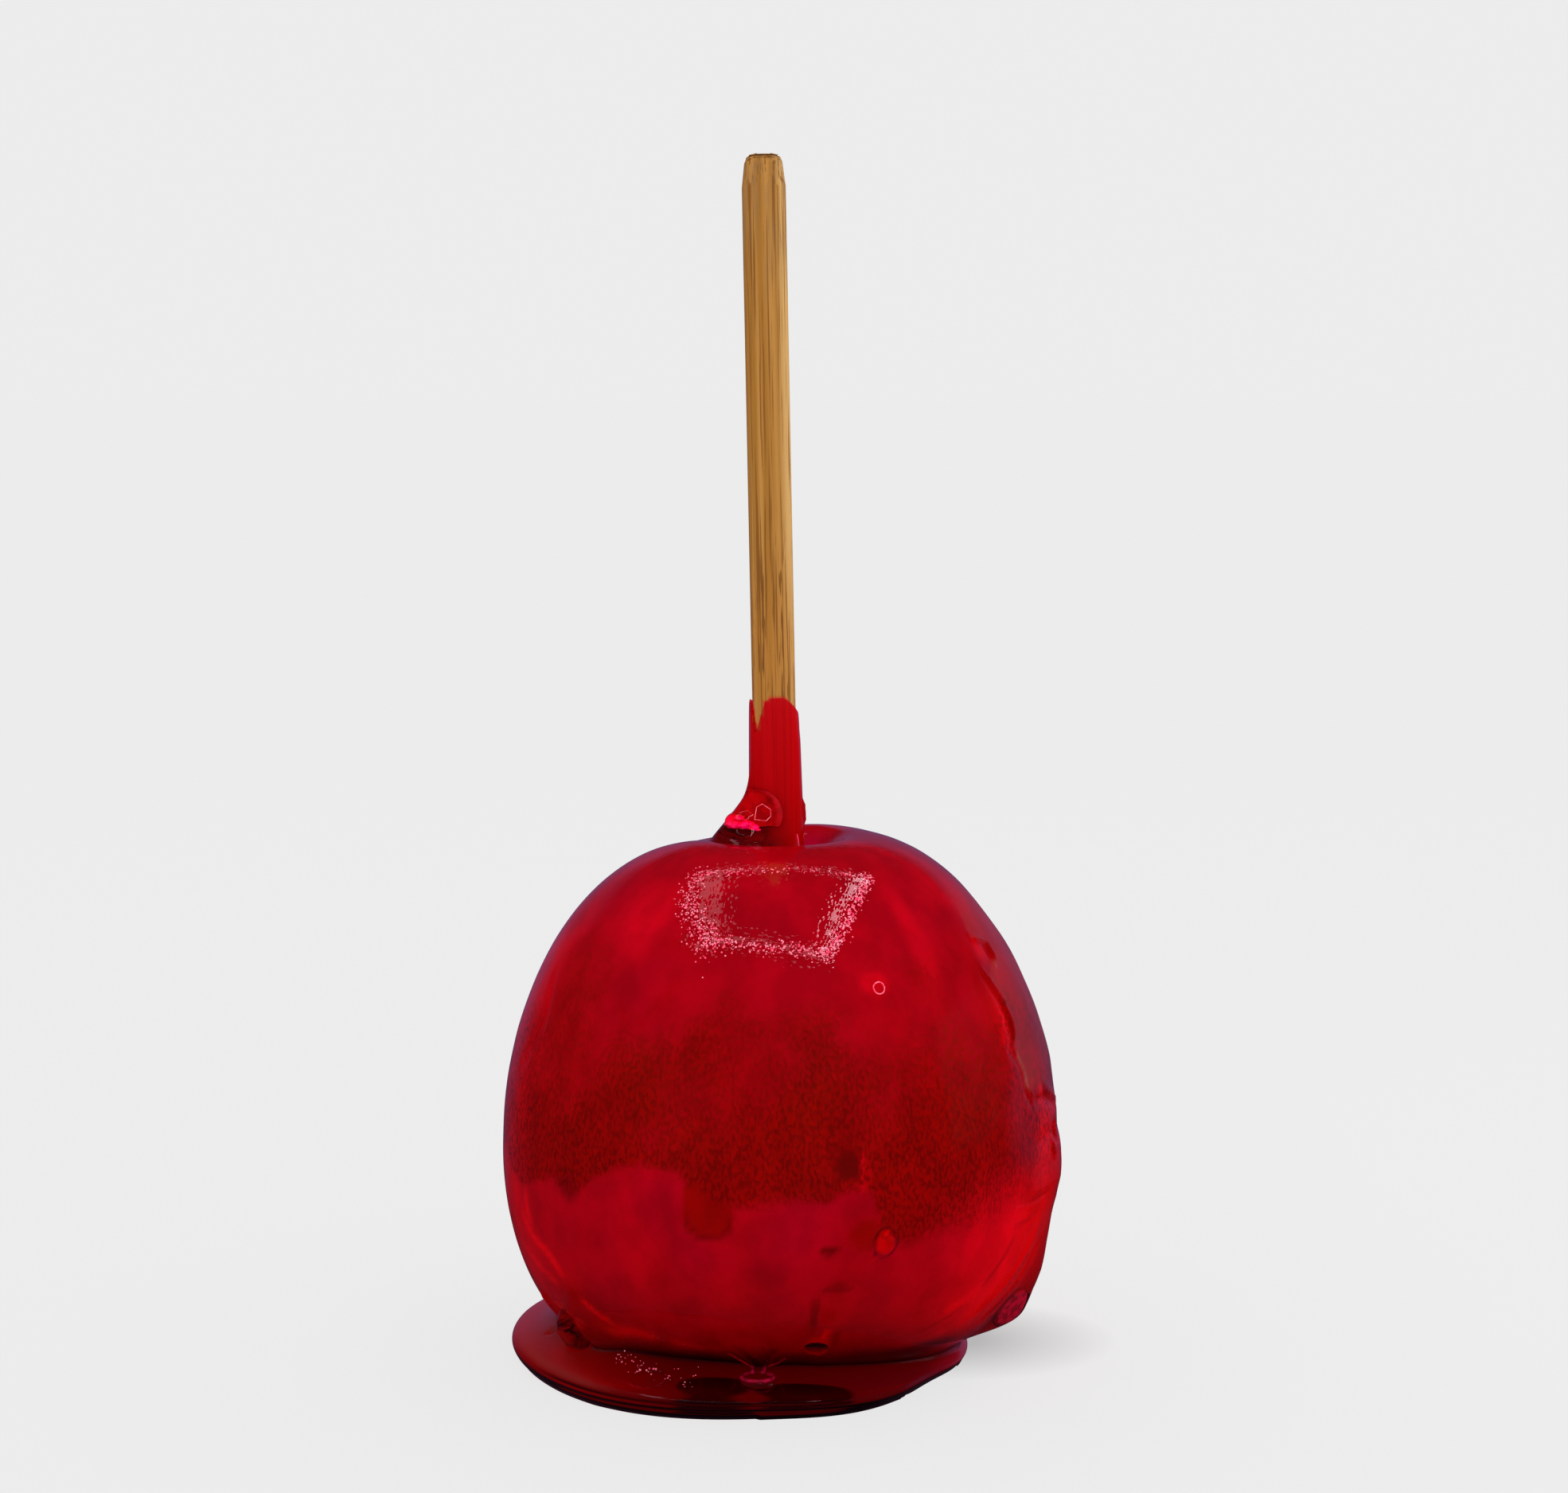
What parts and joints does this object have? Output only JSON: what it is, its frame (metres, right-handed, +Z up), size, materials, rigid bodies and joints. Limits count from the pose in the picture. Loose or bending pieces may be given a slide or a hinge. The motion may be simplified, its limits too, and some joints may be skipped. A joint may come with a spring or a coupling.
{
  "type": "toffee apple",
  "caption": "Whole apple on a bamboo stick, coated in clear red toffee with set runs, a collar up the stick and a flat foot it stands on.",
  "frame": {"origin": "on the resting plane, under the middle of the apple; the toffee's foot reaches further to -X than to +X", "axes": "+Z up along the stick, +X to the right and +Y to the back when the foot's long side is on the left"},
  "size_m": [0.0784, 0.0768, 0.1666],
  "materials": {
    "bamboo": "smooth planed bamboo with fine darker fibres along it",
    "apple_skin": "waxy red apple skin with yellow-green blotches, seen through the toffee",
    "toffee": "clear deep red boiled sugar, glossy, with small bubbles under the surface"
  },
  "bodies": {
    "root": {"stick": "bamboo", "apple": "apple_skin", "toffee": "toffee"}
  },
  "joints": []
}
